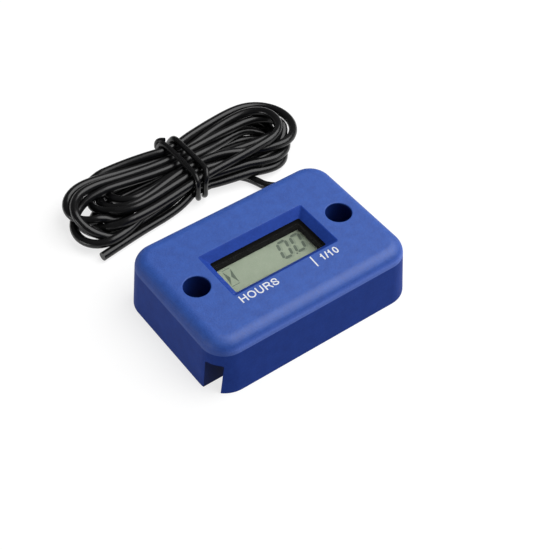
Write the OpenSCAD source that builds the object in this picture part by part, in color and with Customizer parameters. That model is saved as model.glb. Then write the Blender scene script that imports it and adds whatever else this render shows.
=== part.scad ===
// Engine hour meter: a display counter sealed in a moulded case, with its pickup lead tied in a hank.
// The case stands on its rim with the display up. +X is the reading direction, +Y points away from the eye.

/* [Case] */
// Length of the case at its rim
case_l = 56; // [52:0.5:64]
// Width of the case at its rim
case_w = 38.6; // [37.4:0.2:46]
// Height of the case
case_h = 15; // [14.5:0.5:20]
// Plan radius of the case corners at the rim
corner_r = 6.8; // [6:0.1:8]
// Radius of the rounded top edge
top_r = 3.4; // [2:0.1:4]
// Draft of the side walls, in degrees
draft = 3.6; // [1:0.2:4.4]
// Thickness of the side walls
wall = 1.8; // [1.4:0.1:2.2]
// Thickness of the top wall
top_t = 1.8; // [1.2:0.1:2.2]

/* [Window] */
// Length of the window at the lens
window_l = 24.4; // [20:0.2:25]
// Width of the window at the lens
window_w = 10.4; // [8:0.2:12]
// Inset of the sloped window edge
window_bevel = 1.8; // [0.6:0.1:2.2]
// Thickness of the clear lens
lens_t = 1.2; // [0.8:0.1:1.6]
// Overlap of the lens past the window's ends
lens_lap_l = 2; // [1.6:0.1:2.2]
// Overlap of the lens past the window's sides
lens_lap_w = 3; // [2.4:0.1:3.4]

/* [Screw fixing] */
// Distance between the two screw holes
hole_pitch = 39.4; // [39:0.2:42]
// Diameter of the screw's clearance hole
hole_d = 3.5; // [3:0.1:4.2]
// Diameter of the sunk hole for the screw's head
head_d = 6.2; // [5.6:0.1:7]
// Height of the seat under the screw's head
seat_h = 3; // [2:0.2:5]
// Wall of the screw sleeves
sleeve_wall = 1.5; // [1:0.1:1.7]

/* [Wire notches] */
// Width of a wire notch
notch_w = 3.6; // [3:0.1:4]
// Height of a wire notch
notch_h = 8.6; // [6:0.2:9.4]
// Length of the wire trough behind a notch
trough_l = 14; // [10:0.5:15]
// Wall of the wire trough
trough_wall = 1.2; // [0.8:0.1:1.4]
// Radius in the upper corners of a wire notch
notch_r = 0.5; // [0.2:0.1:1.2]

/* [Display] */
// Height of the black bezel above the display
bezel_h = 1.9; // [1.2:0.1:2.4]
// Lip of the bezel inside the window
bezel_lip = 0.8; // [0.4:0.1:1.2]
// Side wall of the bezel
bezel_wall = 0.8; // [0.6:0.1:1]
// Thickness of each polariser film
film_t = 0.2; // [0.15:0.05:0.3]
// Thickness of each display glass
glass_t = 0.7; // [0.5:0.1:0.9]
// Contact ledge along each side of the front glass
ledge_w = 2; // [1.6:0.1:2.4]
// Height of the rubber contact strips
zebra_h = 2; // [1.9:0.1:2.6]

/* [Electronics] */
// Thickness of the circuit board
board_t = 1; // [0.6:0.1:1.6]
// Diameter of the coin cell
cell_d = 20; // [16:0.5:20]
// Height of the coin cell
cell_h = 3.2; // [2:0.1:3.4]
// Diameter of the cell's raised cap
cap_d = 17.4; // [12:0.2:18]
// Height of the raised cap above the crimped rim
cap_h = 0.3; // [0.1:0.1:0.6]
// Radius of the cell's rounded lower edge
can_r = 0.6; // [0.2:0.1:1]
// Thickness of the cell's welded tabs
tab_t = 0.2; // [0.1:0.05:0.3]
// Width of the cell's welded tabs
tab_w = 4; // [3:0.2:5]
// Diameter of the resin drop over the chip
glob_d = 9; // [6:0.5:9.4]
// Height of the resin drop over the chip
glob_h = 0.8; // [0.5:0.1:0.9]
// Depth of the potting below the case rim
pot_recess = 1; // [0.6:0.1:1.2]

/* [Lead] */
// Outer diameter of the pickup lead
lead_d = 2.2; // [1.8:0.1:2.4]
// Diameter of the lead's bare conductor
core_d = 0.8; // [0.5:0.1:1]
// Height of the lead where it leaves the potting
lead_z = 3; // [2.8:0.1:4]
// Height of the hank
hank_h = 8.6; // [7:0.2:10]
// Radius of the hank's rounded end away from the lead
hank_end_r = 9.8; // [8.6:0.2:10]
// Radius of the hank's rounded end at the lead
hank_lead_r = 11.4; // [9.4:0.2:11.6]
// Width of the hank where it is tied
neck_w = 16.8; // [12:0.2:17]
// Thickness of the tie
tie_t = 2; // [1.6:0.1:2.1]
// Width of the tie along the hank
tie_w = 5.6; // [3:0.2:7]

/* [Hidden] */

// Smoothness of round surfaces, and overshoot of cuts past a face
$fn = 64;
cut = 1;

// Clearances: glass in its bezel, board to its neighbours, potting to case, lead in its slot, crystal to board
glass_gap = 0.1;
board_gap = 0.6;
pot_gap = 0.05;
slot_gap = 0.1;
crystal_gap = 0.1;

// Inner edge radius of the case, set by the rounded top edge and the walls
cavity_r = max(top_r - max(wall, top_t), 0.6);

// Screw sleeves
sleeve_r = head_d / 2 + sleeve_wall;

// Wire trough: inner face of the long wall, middle of the notch and blind end, on the lead's side
trough_y1 = case_w / 2 - wall;
trough_y0 = trough_y1 - notch_w;
trough_y = (trough_y0 + trough_y1) / 2;
trough_x = case_l / 2 - trough_l;
trough_in_x = trough_x - trough_wall;

// Display stack in plan, from the window outwards
bezel_l = window_l + 2 * lens_lap_l;
bezel_w = window_w + 2 * lens_lap_w;
glass_l = bezel_l - 2 * (bezel_wall + glass_gap);
glass_w = bezel_w - 2 * (bezel_wall + glass_gap);
rear_w = glass_w - 2 * ledge_w;
zebra_w = ledge_w - 4 * glass_gap;
zebra_y = (glass_w - ledge_w) / 2;

// Display stack in height, from the top wall down
lens_top = case_h - top_t;
bezel_top = lens_top - lens_t;
film_top = bezel_top - bezel_h;
front_top = film_top - film_t;
rear_top = front_top - glass_t;
reflector_top = rear_top - glass_t;
board_top = rear_top - zebra_h;
board_z = board_top - board_t;
cell_top = board_z - tab_t;
cell_z = cell_top - cell_h;

// Circuit board between the sleeves and the troughs
board_l = hole_pitch - 2 * (sleeve_r + board_gap);
board_w = 2 * (trough_y0 - trough_wall - board_gap);

// Parts on the back of the board: [length, width, height] and [distance from the end, distance from the side]
crystal_d = 2;
crystal_l = 6;
crystal_at = [4.2, 1.6];
transistor_size = [1.3, 2.9, 1];
transistor_at = [1.6, 5.4];
resistor_size = [1.25, 2, 0.5];
resistor_at = [1.6, 5.4];
capacitor_size = [1.25, 2, 0.9];
supply_at = [1.6, 5.4];
loader_at = [1.6, 1.8];

// Insulated stretch of the lead in the potting, and the stripped stretch before its turn to the board
inner_l = 3.6;
bare_l = 1.2;
bare_x = trough_in_x - inner_l;

// Pad where the lead's conductor is soldered, and the joint's shape
pad_edge = 1.4;
pad = [bare_x - bare_l, board_w / 2 - pad_edge];
solder_r = 1.2;
solder_tip_r = 0.6;
solder_h = 1;

// Places of the hank: its two end circles and its tie
hank_end = [-19.6, 44.2];
hank_lead = [27.9, 43.2];
tie_at = [4.9, 44.2];

// Height of the hank inside the tie, which stands a little above the rest
tie_rise = 1;
neck_h = hank_h - 2 * tie_t + tie_rise;

// Sides of the lead's plain tube
lead_sides = 8;

// Routes of the lead: from the case to the hank, and from the tie to the free end
LEAD_ROUTE = [
    [12.8, 15.7, 3], [18, 15.7, 3], [23, 15.7, 2.2], [28.2, 15.7, 1.4], [30.6, 16.4, 1.2], [32.4, 18.1, 1.2],
    [33, 20.5, 1.2], [32.4, 22.9, 1.2], [30.6, 24.7, 1.2], [28.2, 25.4, 1.2], [25, 25.6, 1.2],
    [22.2, 26.5, 1.2], [20, 28.6, 1.2], [19, 31, 1.2], [19, 33.1, 1.2]
];
TAIL_ROUTE = [
    [2.1, 34.1, 1.2], [-3.4, 34.1, 1.2], [-9, 33.6, 1.2], [-14.6, 33, 1.2], [-20.2, 32.2, 1.2],
    [-26, 31.3, 1.2]
];

// Section of a case edge from its corner axis outwards: drafted wall and rounded top edge
module edge_section(r, h, edge_r) {
    axis_r = r - (h - edge_r) * tan(draft) - edge_r / cos(draft);
    mid_z = h - edge_r;
    union() {
        polygon([
            [0, 0], [r, 0], [axis_r + edge_r * cos(draft), mid_z + edge_r * sin(draft)],
            [axis_r, mid_z], [axis_r, h], [0, h]
        ]);
        intersection() {
            translate([axis_r, mid_z])
                circle(r = edge_r);
            translate([axis_r, mid_z])
                polygon(2 * edge_r * [[0, 0], [cos(draft), sin(draft)], [1, 1], [0, 1]]);
        }
    }
}

// Block with rounded corners, drafted walls and a rounded top edge, standing on z = 0
module drafted_block(l, w, h, r, edge_r) {
    mid_x = l / 2 - r;
    mid_y = w / 2 - r;
    translate([-mid_x, -mid_y, 0])
        cube([2 * mid_x, 2 * mid_y, h]);
    for (turn = [0, 180])
        rotate([0, 0, turn]) {
            translate([mid_x, mid_y, 0])
                rotate_extrude(angle = 90)
                    edge_section(r, h, edge_r);
            translate([-mid_x, mid_y, 0])
                rotate([0, 0, 90])
                    rotate_extrude(angle = 90)
                        edge_section(r, h, edge_r);
            translate([mid_x, mid_y, 0])
                rotate([90, 0, 0])
                    linear_extrude(2 * mid_y)
                        edge_section(r, h, edge_r);
            translate([-mid_x, mid_y, 0])
                rotate([90, 0, 90])
                    linear_extrude(2 * mid_x)
                        edge_section(r, h, edge_r);
        }
}

// Hollow of the case, from the rim to the underside of the top wall
module cavity(gap) {
    drafted_block(
        case_l - 2 * (wall + gap), case_w - 2 * (wall + gap), case_h - top_t, corner_r - wall - gap, cavity_r
    );
}

// A copy at each screw hole
module at_screws() {
    for (side = [-1, 1])
        translate([side * hole_pitch / 2, 0, 0])
            children();
}

// A copy at each wire notch: the two lie half a turn apart
module at_notches() {
    for (turn = [0, 180])
        rotate([0, 0, turn])
            children();
}

// Moulded solids that stand in the hollow: screw sleeves and trough walls
module inner_posts(gap) {
    at_screws()
        cylinder(r = sleeve_r + gap, h = case_h);
    at_notches()
        translate([trough_in_x - gap, trough_y0 - trough_wall - gap, 0])
            cube([case_l, case_w, notch_h + trough_wall + gap]);
}

// Sloped opening through the top wall
module window_cut() {
    slope = window_bevel / top_t;
    intersection() {
        rotate([90, 0, 0])
            linear_extrude(case_w, center = true)
                window_section(window_l / 2, slope);
        rotate([90, 0, 90])
            linear_extrude(case_l, center = true)
                window_section(window_w / 2, slope);
    }
}

// Section of the sloped opening across one direction
module window_section(half, slope) {
    polygon([
        [-half + cut * slope, lens_top - cut], [half - cut * slope, lens_top - cut],
        [half + (top_t + cut) * slope, case_h + cut], [-half - (top_t + cut) * slope, case_h + cut]
    ]);
}

// Section of a wire notch across the lead, with rounded upper corners
module notch_section() {
    translate([0, -cut])
        square([notch_w, notch_h - notch_r + cut]);
    translate([notch_r, 0])
        square([notch_w - 2 * notch_r, notch_h]);
    for (y = [notch_r, notch_w - notch_r])
        translate([y, notch_h - notch_r])
            circle(r = notch_r);
}

// Hollow of a wire trough, open at the rim and through the end wall, with the lead's slot in its blind end
module trough_cut() {
    slot_r = lead_d / 2 + slot_gap;
    translate([trough_x, trough_y0, 0])
        rotate([90, 0, 90])
            linear_extrude(trough_l + cut)
                notch_section();
    translate([trough_in_x - cut, trough_y, lead_z])
        rotate([0, 90, 0])
            cylinder(r = slot_r, h = trough_wall + 2 * cut);
    translate([trough_in_x - cut, trough_y - slot_r, -cut])
        cube([trough_wall + 2 * cut, 2 * slot_r, lead_z + cut]);
}

module case_shell() {
    color("#2c4fa8")
        difference() {
            drafted_block(case_l, case_w, case_h, corner_r, top_r);
            difference() {
                cavity(0);
                inner_posts(0);
            }
            window_cut();
            at_screws() {
                translate([0, 0, -cut])
                    cylinder(d = hole_d, h = case_h + 2 * cut);
                translate([0, 0, seat_h])
                    cylinder(d = head_d, h = case_h);
            }
            at_notches()
                trough_cut();
        }
}

// Plate centred in plan, with its underside at z
module plate(l, w, z, h) {
    translate([-l / 2, -w / 2, z])
        cube([l, w, h]);
}

module window_lens() {
    color("#d8e4e8", 0.3)
        plate(bezel_l, bezel_w, bezel_top, lens_t);
}

module display_bezel() {
    color("#101012")
        difference() {
            plate(bezel_l, bezel_w, board_top, bezel_top - board_top);
            plate(window_l - 2 * bezel_lip, window_w - 2 * bezel_lip, board_top, case_h);
            plate(glass_l + 2 * glass_gap, glass_w + 2 * glass_gap, 0, film_top);
        }
}

module lcd_front_polariser() {
    color("#a3ab90")
        plate(glass_l, glass_w, front_top, film_t);
}

module lcd_front_glass() {
    color("#c6d2cc", 0.4)
        plate(glass_l, glass_w, rear_top, glass_t);
}

module lcd_rear_glass() {
    color("#c6d2cc", 0.4)
        plate(glass_l, rear_w, reflector_top, glass_t);
}

module lcd_reflector() {
    color("#c9cdb8")
        plate(glass_l, rear_w, reflector_top - film_t, film_t);
}

module zebra_strip(side) {
    color("#e6dccf")
        translate([0, side * zebra_y, 0])
            plate(glass_l - 2 * glass_gap, zebra_w, board_top, zebra_h);
}

module zebra_strip_far() {
    zebra_strip(1);
}

module zebra_strip_near() {
    zebra_strip(-1);
}

module circuit_board() {
    color("#1f6b3a")
        plate(board_l, board_w, board_z, board_t);
}

module controller_glob() {
    ball_r = (pow(glob_d / 2, 2) + pow(glob_h, 2)) / (2 * glob_h);
    color("#0c0c0e")
        intersection() {
            translate([0, 0, board_top + glob_h - ball_r])
                sphere(r = ball_r, $fn = 128);
            plate(2 * glob_d, 2 * glob_d, board_top, 2 * glob_h);
        }
}

// A copy that hangs down from a height
module hung_from(z) {
    translate([0, 0, z])
        mirror([0, 0, 1])
            children();
}

// Box hung under the board, its place given from the board's end and side
module board_box(size, from_edge, end, side) {
    x = end * (board_l / 2 - from_edge[0]) - size[0] / 2;
    y = side * (board_w / 2 - from_edge[1]) - size[1] / 2;
    hung_from(board_z)
        translate([x, y, 0])
            cube(size);
}

module clock_crystal() {
    color("#c4c6c9")
        translate([
            -board_l / 2 + crystal_at[0] - crystal_l / 2,
            board_w / 2 - crystal_at[1],
            board_z - crystal_gap - crystal_d / 2
        ])
            rotate([0, 90, 0])
                cylinder(d = crystal_d, h = crystal_l);
}

module input_transistor() {
    color("#151517")
        board_box(transistor_size, transistor_at, 1, -1);
}

module input_resistor() {
    color("#1c1c20")
        board_box(resistor_size, resistor_at, 1, 1);
}

module supply_capacitor() {
    color("#a98a63")
        board_box(capacitor_size, supply_at, -1, 1);
}

module crystal_capacitor() {
    color("#a98a63")
        board_box(capacitor_size, loader_at, -1, -1);
}

// Can with a rounded lower edge and a crimped rim, and the smaller cap that faces the board
module coin_cell() {
    can_h = cell_h - cap_h;
    color("#c9cbce")
        hung_from(cell_top)
            rotate_extrude() {
                square([cap_d / 2, cell_h]);
                translate([0, cap_h])
                    square([cell_d / 2, can_h - can_r]);
                translate([0, cap_h])
                    square([cell_d / 2 - can_r, can_h]);
                translate([cell_d / 2 - can_r, cell_h - can_r])
                    circle(r = can_r);
            }
}

// Strip under the cell, bent up beside it to the board
module cell_tab_positive() {
    reach = cell_d / 2 + board_gap;
    color("#d6d7d9")
        translate([0, -tab_w / 2, 0]) {
            hung_from(cell_z)
                cube([reach + tab_t, tab_w, tab_t]);
            hung_from(board_z)
                translate([reach, 0, 0])
                    cube([tab_t, tab_w, board_z - cell_z + tab_t]);
        }
}

// Strip between the cell and the board
module cell_tab_negative() {
    color("#d6d7d9")
        hung_from(board_z)
            translate([-cell_d / 2 - board_gap, -tab_w / 2, 0])
                cube([cell_d / 2 + board_gap, tab_w, tab_t]);
}

module lead_solder_joint() {
    color("#b9bcc0")
        hung_from(board_z)
            translate(pad)
                difference() {
                    cylinder(r1 = solder_r, r2 = solder_tip_r, h = solder_h);
                    translate([0, 0, -cut])
                        cylinder(d = core_d, h = solder_h + 2 * cut);
                }
}

// Bare conductor: from the stripped insulation along the trough, across to the pad and up to the board
module lead_core() {
    color("#c98a58") {
        translate([pad[0], trough_y, lead_z])
            rotate([0, 90, 0])
                cylinder(d = core_d, h = bare_l);
        translate([pad[0], trough_y, lead_z])
            sphere(d = core_d);
        translate([pad[0], trough_y, lead_z])
            rotate([90, 0, 0])
                cylinder(d = core_d, h = trough_y - pad[1]);
        translate([pad[0], pad[1], lead_z])
            sphere(d = core_d);
        hung_from(board_z)
            translate(pad)
                cylinder(d = core_d, h = board_z - lead_z);
    }
}

// Insulated stretch of the lead inside the potting, made longer by the overshoot where it is cut out of it
module lead_inner(over = 0) {
    color("#121214")
        translate([bare_x, trough_y, lead_z])
            rotate([0, 90, 0])
                cylinder(d = lead_d, h = inner_l + over);
}

// Resin that fills the hollow round everything above, down to its level below the rim
module potting_compound() {
    color("#0e0e10")
        difference() {
            cavity(pot_gap);
            plate(case_l, case_w, -cut, cut + pot_recess);
            inner_posts(pot_gap);
            plate(bezel_l, bezel_w, board_top, case_h);
            circuit_board();
            clock_crystal();
            input_transistor();
            input_resistor();
            supply_capacitor();
            crystal_capacitor();
            coin_cell();
            cell_tab_positive();
            cell_tab_negative();
            lead_solder_joint();
            lead_core();
            lead_inner(cut);
        }
}

// Direction of a route at a point
function along(path, i) =
    let (d = path[min(i + 1, len(path) - 1)] - path[max(i - 1, 0)])
    d / norm(d);

// Ring of points round a route at one of its points
function ring(path, i, d) =
    let (t = along(path, i), side = cross([0, 0, 1], t) / norm(cross([0, 0, 1], t)), up = cross(t, side))
    [
        for (k = [0 : lead_sides - 1])
            path[i] + d / 2 * (cos(360 * k / lead_sides) * side + sin(360 * k / lead_sides) * up)
    ];

// Closed tube swept along a route
module tube(path, d) {
    n = lead_sides;
    last = len(path) - 1;
    points = [for (i = [0 : last]) each ring(path, i, d)];
    walls = [
        for (i = [0 : last - 1], k = [0 : n - 1])
            [i * n + k, (i + 1) * n + k, (i + 1) * n + (k + 1) % n, i * n + (k + 1) % n]
    ];
    first_cap = [for (k = [0 : n - 1]) k];
    last_cap = [for (k = [n - 1 : -1 : 0]) last * n + k];
    polyhedron(points, concat([first_cap], walls, [last_cap]));
}

module pickup_lead() {
    color("#121214")
        tube(LEAD_ROUTE, lead_d);
}

module lead_tail() {
    color("#121214")
        tube(TAIL_ROUTE, lead_d);
}

// Points of an arc round a centre
function arc(centre, r, from, to) =
    [for (i = [0 : 12]) let (a = from + (to - from) * i / 12) centre + r * [cos(a), sin(a)]];

// Core of the hank inside the tie
module hank_neck() {
    translate([tie_at[0] - tie_w / 2, tie_at[1] - neck_w / 2, tie_t])
        cube([tie_w, neck_w, neck_h]);
}

module lead_hank() {
    outline = concat(
        arc(hank_end, hank_end_r, 90, 270), [tie_at - [0, neck_w / 2]],
        arc(hank_lead, hank_lead_r, -90, 90), [tie_at + [0, neck_w / 2]]
    );
    color("#121214")
        difference() {
            linear_extrude(hank_h)
                polygon(outline);
            difference() {
                translate([tie_at[0] - tie_w / 2, tie_at[1] - case_w, -cut])
                    cube([tie_w, 2 * case_w, hank_h + 2 * cut]);
                hank_neck();
            }
        }
}

module hank_tie() {
    color("#161618")
        difference() {
            translate([tie_at[0] - tie_w / 2, tie_at[1] - neck_w / 2 - tie_t, 0])
                cube([tie_w, neck_w + 2 * tie_t, neck_h + 2 * tie_t]);
            translate([-cut, 0, 0])
                hank_neck();
            translate([cut, 0, 0])
                hank_neck();
        }
}

case_shell();
window_lens();
display_bezel();
lcd_front_polariser();
lcd_front_glass();
lcd_rear_glass();
lcd_reflector();
zebra_strip_far();
zebra_strip_near();
circuit_board();
controller_glob();
clock_crystal();
input_transistor();
input_resistor();
supply_capacitor();
crystal_capacitor();
coin_cell();
cell_tab_positive();
cell_tab_negative();
lead_solder_joint();
lead_core();
lead_inner();
potting_compound();
pickup_lead();
lead_hank();
lead_tail();
hank_tie();
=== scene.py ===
"""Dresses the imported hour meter: moulded case, display, legends, the wire's hank and its tie."""
import logging
import math
from dataclasses import dataclass, field
from enum import Enum
from typing import Callable, Iterable, Sequence

import bmesh
import bpy
import numpy as np
from mathutils import Matrix, Vector


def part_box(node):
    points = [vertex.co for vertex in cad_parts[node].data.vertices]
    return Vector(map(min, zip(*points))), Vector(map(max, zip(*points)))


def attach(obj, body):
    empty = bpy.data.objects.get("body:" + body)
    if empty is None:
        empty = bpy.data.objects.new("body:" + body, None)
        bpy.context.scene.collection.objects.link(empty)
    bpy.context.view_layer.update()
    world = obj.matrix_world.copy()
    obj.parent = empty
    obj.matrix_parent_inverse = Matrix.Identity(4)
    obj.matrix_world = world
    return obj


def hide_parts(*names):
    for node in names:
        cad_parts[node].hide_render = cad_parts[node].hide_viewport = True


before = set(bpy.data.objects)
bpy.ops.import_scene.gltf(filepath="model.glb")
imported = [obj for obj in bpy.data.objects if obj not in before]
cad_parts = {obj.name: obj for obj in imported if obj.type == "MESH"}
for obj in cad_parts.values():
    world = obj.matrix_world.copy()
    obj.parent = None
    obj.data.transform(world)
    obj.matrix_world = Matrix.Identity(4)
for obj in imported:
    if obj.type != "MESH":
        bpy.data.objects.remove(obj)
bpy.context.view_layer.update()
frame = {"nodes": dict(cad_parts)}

Pair = tuple[float, float]
Point = tuple[float, float, float]
Colour = tuple[float, float, float]
Piece = bpy.types.Object
Material = bpy.types.Material
Node = bpy.types.Node
Socket = bpy.types.NodeSocket
BMesh = bmesh.types.BMesh
BMEdge = bmesh.types.BMEdge
BMVert = bmesh.types.BMVert

LOG = logging.getLogger("hour_meter")
MM = 0.001
WHITE = (1.0, 1.0, 1.0, 1.0)
UNIT = (0.0, 1.0)

# Patterns of the finishes: finer layers of the noises, spread of their sum, and how the grain breaks up the
# painted highlight
DRIFT_LAYERS, GRAIN_LAYERS = 3.0, 4.0
MOTTLE = (0.72, 1.28)
HIGHLIGHT_BREAKS = (0.6, 1.4)

# Millimetres: how near counts as touching, and how far a cutter reaches past what it cuts
TOUCH = 0.01
PAST = 2.0


class Joining(Enum):
    """Ways to join two factors."""

    ADD = "ADD"
    MULTIPLY = "MULTIPLY"
    MAXIMUM = "MAXIMUM"


@dataclass(frozen=True)
class Wiring:
    """Adds and links the nodes of a material."""

    tree: bpy.types.NodeTree

    def add(self, kind: str) -> Node:
        """Returns a new node of a kind."""
        return self.tree.nodes.new(f"ShaderNode{kind}")

    def link(self, source: Socket, target: Socket) -> None:
        """Links one socket to another."""
        self.tree.links.new(source, target)

    def noise(self, place: Socket, scale: float, detail: float = 2.0) -> Socket:
        """Adds a noise texture.

        Args:
            place: socket with the coordinates.
            scale: number of blotches in a metre.
            detail: number of finer layers.

        Returns:
            The socket with its factor.
        """
        made = self.add("TexNoise")
        made.inputs["Scale"].default_value = scale
        made.inputs["Detail"].default_value = detail
        self.link(place, made.inputs["Vector"])
        return made.outputs["Fac"]

    def mapped(self, source: Socket, into: Pair, out_of: Pair = UNIT) -> Socket:
        """Maps a factor from one range to another.

        Args:
            source: socket with the factor.
            into: the range that comes out.
            out_of: the range that goes in.

        Returns:
            The socket with the mapped value.
        """
        made = self.add("MapRange")
        for name, value in zip(("From Min", "From Max", "To Min", "To Max"), (*out_of, *into)):
            made.inputs[name].default_value = value
        self.link(source, made.inputs["Value"])
        return made.outputs["Result"]

    def joined(self, way: Joining, one: Socket, two: Socket, clamp: bool = False) -> Socket:
        """Joins two factors.

        Args:
            way: how they are joined.
            one: socket with the first factor.
            two: socket with the second factor.
            clamp: whether the result stays between 0 and 1.

        Returns:
            The socket with the result.
        """
        made = self.add("Math")
        made.operation, made.use_clamp = way.value, clamp
        self.link(one, made.inputs[0])
        self.link(two, made.inputs[1])
        return made.outputs["Value"]

    def mixed(self, factor: Socket, one: Socket | Colour, two: Colour) -> Socket:
        """Mixes two colours.

        Args:
            factor: socket with the share of the second colour.
            one: the first colour, or the socket that gives it.
            two: the second colour.

        Returns:
            The socket with the mixed colour.
        """
        made = self.add("Mix")
        made.data_type = "RGBA"
        if isinstance(one, tuple):
            made.inputs["A"].default_value = (*one, 1.0)
        else:
            self.link(one, made.inputs["A"])
        made.inputs["B"].default_value = (*two, 1.0)
        self.link(factor, made.inputs["Factor"])
        return made.outputs["Result"]


def blank(name: str) -> tuple[Material, Wiring, Node]:
    """Returns a new node material, its wiring and its shader."""
    made = bpy.data.materials.new(name)
    made.use_nodes = True
    return made, Wiring(made.node_tree), made.node_tree.nodes["Principled BSDF"]


@dataclass(frozen=True)
class Finish:
    """An opaque surface with slow colour drift and fine grain; lengths in millimetres."""

    name: str
    colour: Colour
    shade: Colour
    roughness: float
    swing: float
    blotch: float
    grain: float
    relief: float
    metallic: float = 0.0
    specular: float = 0.5
    stretch: Point = (1.0, 1.0, 1.0)
    # Colour of a painted highlight, laid on where the piece's attribute for it is high
    highlight_tint: Colour | None = None

    def make(self) -> Material:
        """Returns the finish as a node material on Object coordinates."""
        made, wiring, shader = blank(self.name)
        turn = wiring.add("Mapping")
        turn.inputs["Scale"].default_value = self.stretch
        wiring.link(wiring.add("TexCoord").outputs["Object"], turn.inputs["Vector"])
        place = turn.outputs["Vector"]
        drift = wiring.noise(place, 1.0 / (self.blotch * MM), DRIFT_LAYERS)
        fine = wiring.noise(place, 1.0 / (self.grain * MM), GRAIN_LAYERS)
        mottle = wiring.mapped(wiring.joined(Joining.ADD, drift, fine), UNIT, MOTTLE)
        colour = wiring.mixed(mottle, self.colour, self.shade)
        if self.highlight_tint is not None:
            colour = self.painted_highlight(wiring, colour, fine)
        wiring.link(colour, shader.inputs["Base Color"])
        rough = wiring.mapped(fine, (self.roughness - self.swing, self.roughness + self.swing))
        wiring.link(rough, shader.inputs["Roughness"])
        bump = wiring.add("Bump")
        bump.inputs["Strength"].default_value = 1.0
        bump.inputs["Distance"].default_value = self.relief * MM
        wiring.link(fine, bump.inputs["Height"])
        wiring.link(bump.outputs["Normal"], shader.inputs["Normal"])
        shader.inputs["Metallic"].default_value = self.metallic
        shader.inputs["Specular IOR Level"].default_value = self.specular
        return made

    def painted_highlight(self, wiring: Wiring, colour: Socket, fine: Socket) -> Socket:
        """Paints a pale highlight into the colour where the piece's attribute for it is high.

        Args:
            wiring: wiring of the material.
            colour: socket with the plain colour.
            fine: socket with the fine noise, which breaks the painted highlight up.

        Returns:
            The socket with the worn colour.
        """
        place = wiring.add("Attribute")
        place.attribute_name = "painted_highlight"
        broken = wiring.mapped(fine, HIGHLIGHT_BREAKS)
        much = wiring.joined(Joining.MULTIPLY, place.outputs["Fac"], broken, clamp=True)
        return wiring.mixed(much, colour, self.highlight_tint)


@dataclass(frozen=True)
class ClearSheet:
    """Clear moulded sheet or glass, with the faintest change of polish over its faces."""

    name: str
    colour: Colour = (1.0, 1.0, 1.0)
    roughness: float = 0.004
    ior: float = 1.36
    ripples: float = 140.0

    def make(self) -> Material:
        """Returns the sheet as a node material."""
        made, wiring, shader = blank(self.name)
        shader.inputs["Base Color"].default_value = (*self.colour, 1.0)
        shader.inputs["Transmission Weight"].default_value = 1.0
        shader.inputs["IOR"].default_value = self.ior
        ripple = wiring.noise(wiring.add("TexCoord").outputs["Object"], self.ripples)
        rough = wiring.mapped(ripple, (0.5 * self.roughness, 1.5 * self.roughness))
        wiring.link(rough, shader.inputs["Roughness"])
        return made


def top_blue(name: str, colour: Colour, shade: Colour, specular: float, highlight_tint: Colour) -> Finish:
    """Returns the finely grained blue of the case's top, or of a step down its rounded edge, with the colour
    of its painted highlight.
    """
    return Finish(name, colour, shade, 0.56, 0.08, 2.2, 0.40, 0.06, specular=specular, highlight_tint=highlight_tint)


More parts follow.
